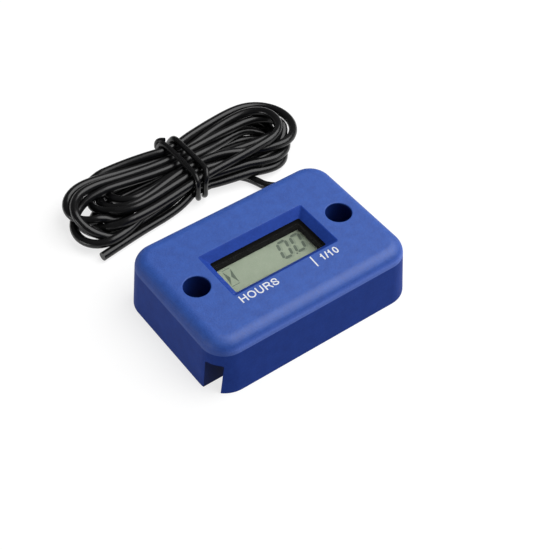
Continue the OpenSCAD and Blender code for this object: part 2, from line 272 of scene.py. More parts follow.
class Coat(Enum):
    """Finishes of the meter.

    A row gives the name, two colours, the roughness and its swing, and the sizes of blotch, grain and relief.
    """

    # The case's rows give the name, two colours, the specular level, and the colour of a painted highlight at
    # the foot of the top edge.
    CASE = top_blue("case_blue", (0.0145, 0.066, 0.33), (0.0215, 0.091, 0.415),
                    0.66, (0.075, 0.155, 0.60))
    # Each step down the top edge is a little darker than the one above: a painted shade that grades the top
    # into the walls.
    CASE_BEND = top_blue("case_bend", (0.0140, 0.064, 0.327), (0.0208, 0.087, 0.41),
                         0.56, (0.08, 0.16, 0.62))
    CASE_EDGE = top_blue("case_edge", (0.0135, 0.061, 0.323), (0.0202, 0.083, 0.405),
                         0.48, (0.085, 0.165, 0.62))
    CASE_FOOT = top_blue("case_foot", (0.0130, 0.058, 0.32), (0.0195, 0.079, 0.40),
                         0.36, (0.10, 0.185, 0.63))
    # The walls' darker colour is painted shade; their lower gloss is their own duller finish.
    CASE_SIDE = Finish("case_side", (0.0115, 0.044, 0.275), (0.0165, 0.058, 0.345),
                       0.62, 0.06, 3.0, 0.5, 0.012, specular=0.14)
    # The inner faces' darker colour is painted shade in the hollow, notches and screw holes.
    CASE_INSIDE = Finish("case_inside", (0.006, 0.022, 0.14), (0.008, 0.028, 0.17),
                         0.6, 0.06, 3.0, 0.5, 0.01, specular=0.12)
    LENS = ClearSheet("clear_lens")
    BEZEL = Finish("black_bezel", (0.0022, 0.0022, 0.0023), (0.0038, 0.0038, 0.004),
                   0.6, 0.06, 3.0, 0.25, 0.006, specular=0.06)
    FILM = Finish("lcd_film", (0.250, 0.298, 0.220), (0.274, 0.320, 0.240),
                  0.45, 0.04, 2.0, 0.3, 0.002, specular=0.2)
    GLASS = ClearSheet("lcd_glass", (0.9, 0.96, 0.93), 0.01, 1.52)
    SEGMENT = Finish("lcd_segment", (0.085, 0.110, 0.085), (0.115, 0.140, 0.110),
                     0.45, 0.03, 0.8, 0.1, 0.001, specular=0.2)
    SHADE = Finish("lcd_shade", (0.205, 0.250, 0.186), (0.225, 0.270, 0.204),
                   0.45, 0.03, 0.8, 0.1, 0.001, specular=0.2)
    REFLECTOR = Finish("reflector", (0.6, 0.62, 0.52), (0.66, 0.67, 0.58),
                       0.4, 0.08, 2.0, 0.1, 0.003, metallic=0.8)
    ZEBRA = Finish("zebra_rubber", (0.75, 0.68, 0.6), (0.05, 0.045, 0.04), 0.7, 0.05, 0.3, 0.1, 0.004)
    BOARD = Finish("board_green", (0.02, 0.14, 0.05), (0.028, 0.17, 0.065), 0.35, 0.06, 2.5, 0.3, 0.006)
    RESIN = Finish("black_resin", (0.008, 0.008, 0.009), (0.014, 0.014, 0.015), 0.3, 0.08, 4.0, 0.8, 0.01)
    STEEL = Finish("steel", (0.6, 0.6, 0.61), (0.52, 0.52, 0.54),
                   0.3, 0.08, 1.5, 0.12, 0.004, metallic=1.0, stretch=(1.0, 8.0, 1.0))
    CHIP_BLACK = Finish("chip_black", (0.01, 0.01, 0.012), (0.016, 0.016, 0.018),
                        0.55, 0.05, 0.6, 0.08, 0.004)
    CHIP_TAN = Finish("chip_tan", (0.35, 0.24, 0.12), (0.30, 0.20, 0.10), 0.5, 0.05, 0.6, 0.08, 0.004)
    SOLDER = Finish("solder", (0.5, 0.52, 0.54), (0.42, 0.44, 0.46),
                    0.25, 0.08, 0.6, 0.15, 0.006, metallic=1.0)
    COPPER = Finish("copper", (0.6, 0.28, 0.14), (0.5, 0.22, 0.1), 0.28, 0.06, 0.5, 0.1, 0.004, metallic=1.0)
    WIRE = Finish("lead_black", (0.003, 0.003, 0.0034), (0.0065, 0.0065, 0.007),
                  0.25, 0.06, 7.0, 0.5, 0.005, specular=0.35)
    TIE = Finish("tie_black", (0.003, 0.003, 0.0034), (0.006, 0.006, 0.0065),
                 0.27, 0.06, 3.0, 0.3, 0.005, specular=0.35)
    INK = Finish("legend_white", (0.78, 0.79, 0.81), (0.72, 0.73, 0.76), 0.5, 0.05, 1.0, 0.12, 0.002)

    def material(self) -> Material:
        """Returns the finish's material, made once."""
        return bpy.data.materials.get(f"{self.value.name}_finish") or self.first()

    def first(self) -> Material:
        """Makes and returns the finish's material, under its own name."""
        made = self.value.make()
        made.name = f"{self.value.name}_finish"
        return made


NODE_COATS: dict[str, Coat] = {
    "window_lens": Coat.LENS, "lcd_front_polariser": Coat.FILM,
    "lcd_front_glass": Coat.GLASS, "lcd_rear_glass": Coat.GLASS, "lcd_reflector": Coat.REFLECTOR,
    "zebra_strip_far": Coat.ZEBRA, "zebra_strip_near": Coat.ZEBRA, "circuit_board": Coat.BOARD,
    "controller_glob": Coat.RESIN, "clock_crystal": Coat.STEEL, "input_transistor": Coat.CHIP_BLACK,
    "input_resistor": Coat.CHIP_BLACK, "supply_capacitor": Coat.CHIP_TAN, "crystal_capacitor": Coat.CHIP_TAN,
    "coin_cell": Coat.STEEL, "cell_tab_positive": Coat.STEEL, "cell_tab_negative": Coat.STEEL,
    "lead_solder_joint": Coat.SOLDER, "lead_core": Coat.COPPER, "lead_inner": Coat.WIRE,
    "potting_compound": Coat.RESIN,
}


class Rounding(Enum):
    """What a bevel rounds."""

    EDGES = "EDGES"
    CORNERS = "VERTICES"


class Shop:
    """Makes pieces out of meshes that are worked in millimetres."""

    MERGE = 1e-4

    @staticmethod
    def link(name: str, data: bpy.types.ID) -> Piece:
        """Returns a new object in the scene that holds the data."""
        made = bpy.data.objects.new(name, data)
        bpy.context.scene.collection.objects.link(made)
        return made

    @staticmethod
    def solid(name: str, bm: BMesh) -> Piece:
        """Turns a bmesh into an object, with its doubles merged and its faces outwards.

        Args:
            name: name of the object.
            bm: the bmesh, which is freed.

        Returns:
            The object.
        """
        bmesh.ops.remove_doubles(bm, verts=bm.verts, dist=Shop.MERGE)
        bmesh.ops.recalc_face_normals(bm, faces=bm.faces)
        mesh = bpy.data.meshes.new(name)
        bm.to_mesh(mesh)
        bm.free()
        return Shop.link(name, mesh)

    @staticmethod
    def carve(base: Piece, *cutters: Piece) -> Piece:
        """Cuts solids out of another one, and removes them.

        Args:
            base: the solid that is cut.
            cutters: the solids that are taken away, one after the other.

        Returns:
            The base, with its cut mesh.
        """
        for cutter in cutters:
            cut = base.modifiers.new("cut", "BOOLEAN")
            cut.operation, cut.solver, cut.object = "DIFFERENCE", "EXACT", cutter
        bpy.context.view_layer.update()
        dg = bpy.context.evaluated_depsgraph_get()
        mesh = bpy.data.meshes.new_from_object(base.evaluated_get(dg))
        base.modifiers.clear()
        base.data = mesh
        for cutter in cutters:
            bpy.data.objects.remove(cutter)
        return base

    @staticmethod
    def plate(bm: BMesh, outline: Sequence[Pair], z: float, height: float) -> None:
        """Adds a flat plate over an outline.

        Args:
            bm: the bmesh that takes the plate.
            outline: corners of the plate in plan.
            z: underside of the plate.
            height: thickness of the plate.
        """
        face = bm.faces.new([bm.verts.new((x, y, z)) for x, y in outline])
        Shop.lift(bm, [face], height)

    @staticmethod
    def lift(bm: BMesh, faces: Sequence[bmesh.types.BMFace],
             height: float) -> tuple[list[BMVert], list[BMEdge]]:
        """Extrudes faces straight up.

        Args:
            bm: the bmesh that holds the faces.
            faces: the faces.
            height: how far they rise.

        Returns:
            The points and the edges at the top.
        """
        made = bmesh.ops.extrude_face_region(bm, geom=faces)["geom"]
        risen = [v for v in made if isinstance(v, BMVert)]
        bmesh.ops.translate(bm, verts=risen, vec=(0.0, 0.0, height))
        return risen, [e for e in made if isinstance(e, BMEdge)]

    @staticmethod
    def bevel(bm: BMesh, geom: Sequence[BMVert | BMEdge], radius: float, facets: int,
              over: Rounding = Rounding.EDGES, clamp: bool = False) -> None:
        """Rounds edges or corners.

        Args:
            bm: the bmesh that holds them.
            geom: the edges, or the corners' points.
            radius: radius of the rounding.
            facets: number of facets over it.
            over: what is rounded.
            clamp: whether the rounding stops where it meets another one.
        """
        bmesh.ops.bevel(bm, geom=geom, offset=radius, offset_type="OFFSET", segments=facets, profile=0.5,
                        affect=over.value, material=-1, clamp_overlap=clamp)

    @staticmethod
    def hand_over(piece: Piece, coat: Coat, slot: str | None, *nodes: str, angle: float | None = 40.0,
                  scale: bool = True) -> Piece:
        """Brings a piece to metres, finishes it and lets it ride.

        Args:
            piece: the piece.
            coat: its finish.
            slot: the record's material slot, if it has one; not used.
            nodes: CAD nodes that it stands for.
            angle: angle above which an edge is sharp, or none for a curve.
            scale: whether the piece is in millimetres.

        Returns:
            The piece.
        """
        if scale:
            piece.data.transform(Matrix.Scale(MM, 4))
        piece.data.materials.clear()
        piece.data.materials.append(coat.material())
        if angle is not None:
            piece.data.shade_smooth()
            piece.data.set_sharp_from_angle(angle=math.radians(angle))
        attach(piece, "root")
        if nodes:
            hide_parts(*nodes)
        LOG.info("%s stands for %s", piece.name, ", ".join(nodes) or "itself")
        return piece


@dataclass(frozen=True)
class Lamp:
    """Soft rectangular lamp that faces the meter; lengths in metres."""

    name: str
    direction: Point
    away: float
    size: Pair
    watts: float
    target: Point = (0.0, 0.012, 0.0)
    steep: float = 0.7

    def build(self) -> None:
        """Adds the lamp to the scene."""
        data = bpy.data.lights.new(self.name, "AREA")
        data.shape, data.size, data.size_y = "RECTANGLE", *self.size
        data.energy = self.watts
        made = Shop.link(self.name, data)
        towards = Vector(self.direction).normalized()
        made.location = towards * self.away + Vector(self.target)
        aside = Vector((0.0, 1.0, 0.0) if towards.z > self.steep else (0.0, 0.0, 1.0))
        across = aside.cross(towards).normalized()
        made.rotation_euler = Matrix((across, towards.cross(across), towards)).transposed().to_euler()
        made.visible_transmission = False


@dataclass
class Studio:
    """Camera, floor, lamps and surroundings; the camera's lengths in millimetres and pixels of the frame."""

    focal: float = 1272.44
    frame_px: float = 550.0
    sensor: float = 36.0
    clip: Pair = (0.01, 20.0)
    azimuth: float = -35.628
    elevation: float = 47.495
    roll: float = 0.043
    distance: float = 296.19
    offset: Pair = (-5.099, 4.699)
    centre_px: Pair = (-28.22, -2.54)
    floor_half: float = 3000.0
    floor_tone: float = 0.28
    floor_glow: float = 0.76
    floor_roughness: float = 0.9
    floor_specular: float = 0.1
    sky: float = 0.12
    lamps: tuple[Lamp, ...] = (
        Lamp("overhead", (0.50, -0.22, 0.86), 0.7, (0.74, 0.76), 7.2),
        Lamp("left_low", (-0.98, 0.05, 0.10), 1.0, (0.5, 0.12), 2.2))

    def camera(self) -> None:
        """Sets the camera at the photograph's viewing angle."""
        data = bpy.data.cameras.new("view")
        data.sensor_width = self.sensor
        data.lens = self.focal / self.frame_px * data.sensor_width
        data.shift_x = -self.centre_px[0] / self.frame_px
        data.shift_y = self.centre_px[1] / self.frame_px
        data.clip_start, data.clip_end = self.clip
        made = Shop.link("view", data)
        az, el, roll = (math.radians(a) for a in (self.azimuth, self.elevation, self.roll))
        back = Vector((math.sin(az) * math.cos(el), -math.cos(az) * math.cos(el), math.sin(el)))
        right = Vector((math.cos(az), math.sin(az), 0.0))
        up = back.cross(right)
        across = math.cos(roll) * right + math.sin(roll) * up
        upward = math.cos(roll) * up - math.sin(roll) * right
        place = (back * self.distance + across * self.offset[0] + upward * self.offset[1]) * MM
        made.matrix_world = Matrix.Translation(place) @ Matrix((across, upward, back)).transposed().to_4x4()
        bpy.context.scene.camera = made

    def floor(self) -> None:
        """Lays the white floor, which keeps the object's shadow."""
        bm = bmesh.new()
        bmesh.ops.create_grid(bm, x_segments=1, y_segments=1, size=self.floor_half)
        made = Shop.solid("floor", bm)
        made.data.transform(Matrix.Scale(MM, 4))
        paper, wiring, shader = blank("floor_paper")
        shader.inputs["Base Color"].default_value = (self.floor_tone,) * 3 + (1.0,)
        shader.inputs["Roughness"].default_value = self.floor_roughness
        shader.inputs["Specular IOR Level"].default_value = self.floor_specular
        shader.inputs["Emission Color"].default_value = WHITE
        wiring.link(self.seen(wiring, self.floor_glow, 0.0), shader.inputs["Emission Strength"])
        made.data.materials.append(paper)

    @staticmethod
    def seen(wiring: Wiring, shown: float, cast: float) -> Socket:
        """Gives one strength to what the camera, gloss and glass see, and another to the light that is cast.

        Args:
            wiring: wiring of the material.
            shown: strength that is seen.
            cast: strength that lights the object.

        Returns:
            The socket with the strength.
        """
        path = wiring.add("LightPath")
        total = path.outputs["Is Camera Ray"]
        for ray in ("Is Glossy Ray", "Is Transmission Ray"):
            total = wiring.joined(Joining.MAXIMUM, total, path.outputs[ray])
        return wiring.mapped(total, (cast, shown))

    def build(self) -> None:
        """Sets up the view, the light and the floor."""
        scene = bpy.context.scene
        scene.view_settings.view_transform = "Standard"
        self.camera()
        self.floor()
        world = bpy.data.worlds.new("surroundings")
        world.use_nodes = True
        sky = world.node_tree.nodes["Background"]
        sky.inputs["Color"].default_value = WHITE
        sky.inputs["Strength"].default_value = self.sky
        scene.world = world
        for lamp in self.lamps:
            lamp.build()
        LOG.info("studio ready")


@dataclass(frozen=True)
class Fold:
    """Loop at one end of a turn of the hank, in millimetres.

    It has the X of its tip, the Y of its two runs, and its heights at its start, tip and end.
    """

    end: float
    first: float
    last: float
    rise: Point

    def points(self, side: int, count: int = 9) -> list[Point]:
        """Gives points round the loop.

        Args:
            side: -1 for the loop at -X, 1 for the loop at +X.
            count: number of points.

        Returns:
            The points, from the run that comes in to the run that leaves.
        """
        reach, middle = (self.last - self.first) / 2, (self.last + self.first) / 2
        centre = self.end - side * abs(reach)
        made = []
        for t in np.linspace(-1.0, 1.0, count):
            angle = t * math.pi / 2
            lift = np.dot((t * (t - 1) / 2, 1 - t * t, t * (t + 1) / 2), self.rise)
            out = side * abs(reach) * math.cos(angle)
            made.append((centre + out, middle + reach * math.sin(angle), float(lift)))
        return made


@dataclass(frozen=True)
class Turn:
    """One turn of the hank: its places in the tie, its loops, and points on its way out, if any."""

    out: Pair
    left: Fold
    back: Pair
    right: Fold
    along: tuple[Point, ...] = ()


def wound() -> list[Turn]:
    """Returns the eight turns of the hank, from the wire that comes from the case to its free end."""
    low, high = 2.95, 5.4
    under = [34.3 + 2.2 * j for j in range(9)]
    over = [35.4, 37.7, 40.0, 42.3, 44.6, 46.9, 49.2, 51.4]
    return [
        Turn((under[3], low), Fold(-25.2, 36.4, 51.6, (1.3, 1.4, 3.4)),
             (over[7], high - 0.3), Fold(37.6, 53.2, 35.0, (5.6, 4.8, 4.4))),
        Turn((over[2], high), Fold(-18.4, 37.4, 50.6, (5.0, 3.2, 1.3)),
             (under[6], low), Fold(30.8, 46.6, 33.4, (1.2, 1.2, 1.2))),
        Turn((under[4], low), Fold(-27.2, 37.2, 51.2, (3.3, 4.4, 6.2)),
             (over[6], high), Fold(32.8, 48.6, 35.4, (6.8, 7.2, 7.0))),
        Turn((over[0], high), Fold(-22.8, 33.8, 47.0, (4.0, 2.0, 1.2)),
             (under[5], low), Fold(33.8, 50.6, 37.4, (2.4, 3.0, 4.0))),
        Turn((over[1], high), Fold(-20.6, 36.6, 49.8, (4.6, 3.4, 2.2)),
             (under[7], low), Fold(34.8, 52.0, 38.8, (2.0, 3.2, 4.4))),
        Turn((over[3], high), Fold(-16.2, 39.4, 52.6, (5.2, 3.4, 1.4)),
             (under[8], low), Fold(33.2, 50.6, 33.4, (1.3, 2.6, 3.2))),
        Turn((under[1], low), Fold(-26.6, 34.0, 48.4, (2.0, 5.4, 6.6)),
             (over[5], high), Fold(33.0, 47.4, 33.8, (4.6, 4.0, 3.4)),
             ((-2.5, 36.3, 1.2), (-9.0, 35.9, 1.2))),
        Turn((under[2], low), Fold(-28.2, 32.6, 46.2, (1.2, 2.2, 5.0)),
             (over[4], high), Fold(32.6, 47.2, 32.2, (4.0, 1.8, 1.6))),
    ]


@dataclass
class WireHank:
    """The meter's wire from the case through the hank to its free end, and the tie; in millimetres."""

    diameter: float = 2.2
    lead_route: tuple[Point, ...] = (
        (12.8, 15.7, 3), (18, 15.7, 3), (23, 15.7, 2.2), (28.2, 15.7, 1.4), (30.6, 16.4, 1.2),
        (32.4, 18.1, 1.2), (33, 20.5, 1.2), (32.4, 22.9, 1.2), (30.6, 24.7, 1.2), (28.2, 25.4, 1.2),
        (25, 25.6, 1.2), (22.2, 26.5, 1.2), (20, 28.6, 1.2), (19, 31, 1.2), (19, 33.1, 1.2))
    way_in: Point = (15.5, 36.6, 1.2)
    way_out: tuple[Point, ...] = ((14.0, 33.5, 2.2), (8.4, 34.3, 2.3), (5.7, 34.6, 2.9))
    tail_route: tuple[Point, ...] = (
        (-3.4, 34.1, 1.2), (-9, 33.6, 1.2), (-14.6, 33, 1.2), (-20.2, 32.2, 1.2), (-26, 31.3, 1.2))
    turns: list[Turn] = field(default_factory=wound)
    step: float = 1.1
    wire_facets: int = 6
    lead_slack: int = 2
    tail_fixed: float = 20.0
    draft_eases: int = 10
    rounds: int = 400
    firm_from: float = 0.6
    sinks_until: float = 0.9
    look_every: int = 6
    look_within: float = 1.6
    neighbours: int = 5
    pushes: int = 3
    clear: float = 1.02
    weight: float = 0.012
    hold: float = 0.01
    tie_x: float = 4.9
    tie_y: float = 42.3
    tie_z: float = 4.7
    tie_half: Pair = (8.4, 1.9)
    tie_d: float = 1.45
    tie_facets: int = 5
    tie_grip: float = 3.2
    tie_narrows: float = 0.35
    tie_feels: float = 1.3
    tie_slack: float = 0.03
    tie_step: float = 0.5
    tie_eases: int = 4
    tie_start: tuple[Point, ...] = ((4.5, 50.5, 8.3), (3.7, 51.4, 8.2), (3.3, 52.1, 7.4), (3.3, 52.5, 6.4))
    tie_angles: tuple[float, ...] = (15, 90, 180, 270, 360, 450, 540, 610)
    tie_across: tuple[float, ...] = (3.2, 3.7, 2.9, 4.2, 6.7, 7.0, 5.2, 5.6)

    def build(self) -> None:
        wire = self.settle(self.draft())
        tie = self.tube("hank_wrap", self.wrap(wire), self.tie_d, self.tie_facets)
        Shop.hand_over(tie, Coat.TIE, "tie_black", "hank_tie", angle=None, scale=False)
        cord = self.tube("pickup_wire", wire, self.diameter, self.wire_facets)
        Shop.hand_over(cord, Coat.WIRE, "lead_black", "pickup_lead", "lead_hank", "lead_tail",
                       angle=None, scale=False)

    @staticmethod
    def smooth_line(points: Sequence[Point], per: int = 12) -> np.ndarray:
        """Draws a smooth curve through points.

        Args:
            points: the points.
            per: number of steps from each point to the next.

        Returns:
            Points of the curve.
        """
        given = np.asarray(points, float)
        padded = np.vstack([2 * given[0] - given[1], given, 2 * given[-1] - given[-2]])
        made = []
        for p0, p1, p2, p3 in zip(padded, padded[1:], padded[2:], padded[3:]):
            pairs = ((p0, p1), (p1, p2), (p2, p3))
            k1, k2, k3 = np.cumsum([math.sqrt(np.linalg.norm(b - a)) for a, b in pairs])
            t = np.linspace(k1, k2, per, endpoint=False)[:, None]
            a1 = (k1 - t) / k1 * p0 + t / k1 * p1
            a2 = (k2 - t) / (k2 - k1) * p1 + (t - k1) / (k2 - k1) * p2
            a3 = (k3 - t) / (k3 - k2) * p2 + (t - k2) / (k3 - k2) * p3
            b1 = (k2 - t) / k2 * a1 + t / k2 * a2
            b2 = (k3 - t) / (k3 - k1) * a2 + (t - k1) / (k3 - k1) * a3
            made.append((k2 - t) / (k2 - k1) * b1 + (t - k1) / (k2 - k1) * b2)
        made.append(given[-1:])
        return np.vstack(made)

    @staticmethod
    def even(line: np.ndarray, step: float) -> np.ndarray:
        """Spaces points evenly along a line.

        Args:
            line: the line.
            step: distance between points.

        Returns:
            The evenly spaced points.
        """
        along = np.r_[0.0, np.cumsum(np.linalg.norm(np.diff(line, axis=0), axis=1))]
        wanted = np.linspace(0.0, along[-1], int(round(along[-1] / step)) + 1)
        return np.stack([np.interp(wanted, along, line[:, k]) for k in range(3)], 1)

    def draft(self) -> np.ndarray:
        """Returns the wire's line as it was wound, before it settles."""
        points = [*self.lead_route, self.way_in]
        for turn in self.turns:
            points += [(self.tie_x, *turn.out), *turn.along, *turn.left.points(-1)]
            points.append((self.tie_x, *turn.back))
            points += turn.right.points(1)
        line = self.even(self.smooth_line([*points, *self.way_out, *self.tail_route]), self.step)
        return self.eased(line, self.loose(line), self.draft_eases)

    def loose(self, line: np.ndarray) -> np.ndarray:
        """Returns which points of the wire may move: all but the lead and the free end."""
        lead = np.linalg.norm(np.diff(self.smooth_line(self.lead_route), axis=0), axis=1).sum()
        free = np.ones(len(line), bool)
        free[: int(lead / self.step) - self.lead_slack] = False
        free[-int(self.tail_fixed / self.step):] = False
        return free

    @staticmethod
    def eased(values: np.ndarray, free: np.ndarray, rounds: int) -> np.ndarray:
        """Smooths values along the wire.

        Args:
            values: one row for each point.
            free: which rows may change.
            rounds: how often.

        Returns:
            The smoothed values.
        """
        for _ in range(rounds):
            mean = values.copy()
            mean[1:-1] = 0.5 * values[1:-1] + 0.25 * (values[:-2] + values[2:])
            values = np.where(free[:, None], mean, values)
        return values

    def settle(self, first: np.ndarray) -> np.ndarray:
        """Lets the turns sink onto each other, held by the tie, with no two of them in one place.

        Args:
            first: the line as it was wound.

        Returns:
            The line at rest.
        """
        free, gap = self.loose(first), self.clear * self.diameter
        line = first.copy()
        for turn in range(self.rounds):
            done = turn / self.rounds
            shift = line - first
            if done <= self.sinks_until:
                shift[free, 2] -= self.weight * (1 - done)
                shift[:, :2] *= 1 - self.hold
            eases = 3 if done < self.firm_from else 2 if done <= self.sinks_until else 1
            line = first + self.eased(shift, free, eases)
            if turn % self.look_every == 0:
                square = (line * line).sum(1)
                within = (self.look_within * self.diameter) ** 2
                one, two = np.nonzero(square[:, None] + square[None] - 2 * line @ line.T < within)
                keep = two - one > self.neighbours
                one, two = one[keep], two[keep]
            for _ in range(self.pushes):
                line = self.apart(line, one, two, free, gap)
                line = self.held(line, free)
        return line

    @staticmethod
    def apart(line: np.ndarray, one: np.ndarray, two: np.ndarray, free: np.ndarray, gap: float) -> np.ndarray:
        """Pushes apart the points of the wire that are too close.

        Args:
            line: the wire.
            one: first point of each close pair.
            two: second point of each close pair.
            free: which points may move.
            gap: least distance between turns.

        Returns:
            The wire after the push.
        """
        between = line[two] - line[one]
        away = np.linalg.norm(between, axis=1)
        hit = away < gap
        if not hit.any():
            return line
        i, j, count = one[hit], two[hit], len(line)
        least = 1e-6
        push = between[hit] / np.maximum(away[hit], least)[:, None] * ((gap - away[hit]) * 0.5)[:, None]
        often = np.maximum(np.bincount(i, minlength=count) + np.bincount(j, minlength=count), 1)
        moves = [np.bincount(j, push[:, k], count) - np.bincount(i, push[:, k], count) for k in range(3)]
        return line + np.stack(moves, 1) / np.sqrt(often)[:, None] * free[:, None]

    def held(self, line: np.ndarray, free: np.ndarray) -> np.ndarray:
        """Returns the wire held inside the tie and on the floor."""
        inside = free & (np.abs(line[:, 0] - self.tie_x) < self.tie_grip)
        half_y, half_z = self.tie_half
        lift = np.clip(line[inside, 2], self.tie_z - half_z, self.tie_z + half_z)
        reach = half_y * np.sqrt(1 - self.tie_narrows * np.abs((lift - self.tie_z) / half_z) ** 3)
        line[inside, 1] = np.clip(line[inside, 1], self.tie_y - reach, self.tie_y + reach)
        line[inside, 2] = lift
        line[:, 2] = np.maximum(line[:, 2], self.diameter / 2)
        return line

    def wrap(self, wire: np.ndarray) -> np.ndarray:
        """Winds the tie twice round the turns.

        Args:
            wire: the settled wire.

        Returns:
            The tie's line.
        """
        turn_step, line_steps = 6.0, 6
        angles = np.arange(self.tie_angles[0], self.tie_angles[-1] + 1.0, turn_step)
        across = np.interp(angles, self.tie_angles, self.tie_across)
        reach = (self.diameter + self.tie_d) / 2 + self.tie_slack
        made = [*self.tie_start]
        for angle, x in zip(np.radians(angles), across):
            towards = np.array((math.cos(angle), math.sin(angle)))
            near = wire[np.abs(wire[:, 0] - x) < self.tie_feels][:, 1:]
            made.append((x, *(near[np.argmax(near @ towards)] + reach * towards)))
        line = self.even(self.smooth_line(made, line_steps), self.tie_step)
        line = self.eased(line, np.ones(len(line), bool), self.tie_eases)
        line[:, 2] = np.maximum(line[:, 2], self.tie_d / 2)
        return line

    @staticmethod
    def tube(name: str, line: np.ndarray, diameter: float, facets: int) -> Piece:
        """Makes a round curve along a line.

        Args:
            name: name of the piece.
            line: its points in millimetres.
            diameter: its thickness in millimetres.
            facets: fineness of its section.

        Returns:
            The curve's object, in metres.
        """
        data = bpy.data.curves.new(name, "CURVE")
        data.dimensions = "3D"
        data.bevel_depth = diameter / 2 * MM
        data.bevel_resolution = facets
        data.use_fill_caps = True
        spline = data.splines.new("POLY")
        spline.points.add(len(line) - 1)
        spline.points.foreach_set("co", np.c_[line * MM, np.ones(len(line))].ravel())
        return Shop.link(name, data)


class Zone(Enum):
    """Zones of the case, in the order of its material slots."""

    TOP = Coat.CASE
    # Outer walls and the window's sloped walls: darker colour, a painted shade.
    WALL = Coat.CASE_SIDE
    # Faces deep inside: darker colour, a painted shade.
    INSIDE = Coat.CASE_INSIDE
    BEND = Coat.CASE_BEND
    EDGE = Coat.CASE_EDGE
    FOOT = Coat.CASE_FOOT


def share(value: float) -> float:
    """Returns a value held between 0 and 1."""
    return min(max(value, 0.0), 1.0)


